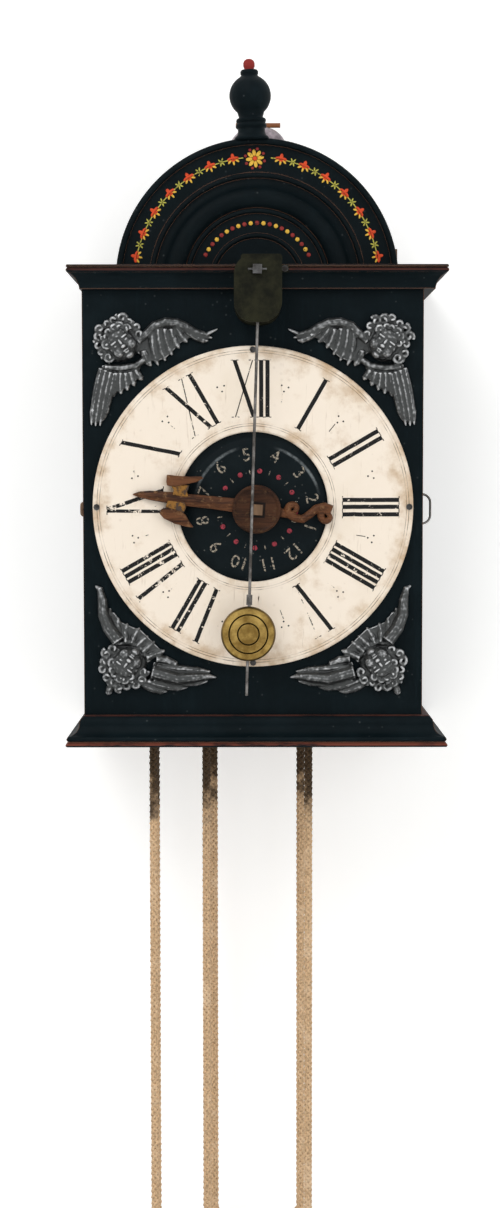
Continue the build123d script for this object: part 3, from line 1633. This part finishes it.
alarm_head_z = bell_lip + 4.0
alarm_staff_low = alarm_arbor_z - 17.0
with BuildPart() as alarm_staff:
    rod_up(alarm_arbor_z - 12.7, alarm_head_z + 3, alarm_staff_radius, alarm_staff_x, alarm_arbor_depth)
    rod_up(alarm_staff_low, alarm_arbor_z - 12.7, 1.5, alarm_staff_x, alarm_arbor_depth)
    lower_pallet = alarm_arbor_z - alarm_crown_radius - 1.5
    upper_pallet = alarm_arbor_z + alarm_crown_radius - 3.0
    for pallet_low, turn in ((lower_pallet, 50.0), (upper_pallet, 130.0)):
        with BuildSketch(level_plane(pallet_low, alarm_staff_x, alarm_arbor_depth)):
            Rectangle(1.0, 5.6, rotation=turn, align=(Align.CENTER, Align.MIN))
        extrude(amount=3.0)
    arm = radians(alarm_arm_angle)
    with BuildSketch(
        Plane(
            origin=(alarm_staff_x, -alarm_arbor_depth, alarm_head_z),
            x_dir=(0, 0, 1),
            z_dir=(cos(arm), sin(arm), 0),
        )
    ):
        Circle(1.3)
    extrude(amount=alarm_arm_length)
    head_place_x = alarm_staff_x + alarm_arm_length * cos(arm)
    head_place_depth = alarm_arbor_depth - alarm_arm_length * sin(arm)
    rod_up(alarm_head_z - 4, alarm_head_z + 4, alarm_head_radius, head_place_x, head_place_depth)
save(alarm_staff, "alarm_staff")


# Ropes: each runs from its hook over its sheave and down the other side
def rope_end_solids(x, depth):
    """The knot at a rope's end, drilled for the wire that hangs in it."""
    with BuildSketch(Plane(origin=(x, -depth, rope_end), x_dir=(1, 0, 0), z_dir=(0, -1, 0))) as knot:
        with BuildLine():
            Line((0, -knot_radius), (0, knot_radius))
            ThreePointArc((0, knot_radius), (knot_radius, 0), (0, -knot_radius))
        make_face()
    revolve(knot.sketch, axis=Axis((x, -depth, rope_end), (0, 0, 1)))
    rod_up(rope_end - knot_radius - 1, rope_end - 1, hook_wire, x, depth, mode=Mode.SUBTRACT)


for rope_name, rope_track, rope_depth in (
    ("going_rope", going_rope_track, going_rope_depth),
    ("strike_rope", strike_rope_track, strike_rope_depth),
):
    with BuildPart() as rope_left:
        with BuildLine(front_plane(rope_depth, train_x, 0)) as rope_line:
            Line((-rope_track, rope_end), (-rope_track, great_z))
            ThreePointArc((-rope_track, great_z), (0, great_z + rope_track), (rope_track, great_z))
        with BuildSketch(level_plane(rope_end, train_x - rope_track, rope_depth)):
            Circle(rope_radius)
        sweep()
        rope_end_solids(train_x - rope_track, rope_depth)
    save(rope_left, f"{rope_name}_left")
    with BuildPart() as rope_right:
        rod_up(rope_end, great_z, rope_radius, train_x + rope_track, rope_depth)
        rope_end_solids(train_x + rope_track, rope_depth)
    save(rope_right, f"{rope_name}_right")
    print(rope_name, "bend radius", rope_track)

alarm_line_plane = Plane(origin=(alarm_rope_x, -alarm_arbor_depth, 0), x_dir=(0, -1, 0), z_dir=(-1, 0, 0))
with BuildPart() as alarm_rope_front:
    with BuildLine(alarm_line_plane):
        Line((alarm_rope_track, rope_end), (alarm_rope_track, alarm_arbor_z))
        ThreePointArc(
            (alarm_rope_track, alarm_arbor_z),
            (0, alarm_arbor_z + alarm_rope_track),
            (-alarm_rope_track, alarm_arbor_z),
        )
    with BuildSketch(level_plane(rope_end, alarm_rope_x, alarm_arbor_depth + alarm_rope_track)):
        Circle(rope_radius)
    sweep()
    rope_end_solids(alarm_rope_x, alarm_arbor_depth + alarm_rope_track)
save(alarm_rope_front, "alarm_rope_front")
with BuildPart() as alarm_rope_rear:
    rod_up(rope_end, alarm_arbor_z, rope_radius, alarm_rope_x, alarm_arbor_depth - alarm_rope_track)
    rope_end_solids(alarm_rope_x, alarm_arbor_depth - alarm_rope_track)
save(alarm_rope_rear, "alarm_rope_rear")
print("alarm_rope bend radius", alarm_rope_track)

# Iron hooks at the ropes' ends, for the driving weights and their counterweights
with BuildPart() as weight_hooks:
    for place_x, place_depth in rope_places:
        hook_low = rope_end - 1 - hook_shank
        with BuildLine(front_plane(place_depth, place_x, 0)) as hook_line:
            Line((0, rope_end - 1), (0, hook_low))
            ThreePointArc((0, hook_low), (hook_bend, hook_low - hook_bend), (2 * hook_bend, hook_low))
        with BuildSketch(level_plane(rope_end - 1, place_x, place_depth)):
            RegularPolygon(hook_wire, 8)
        sweep()
save(weight_hooks, "weight_hooks")
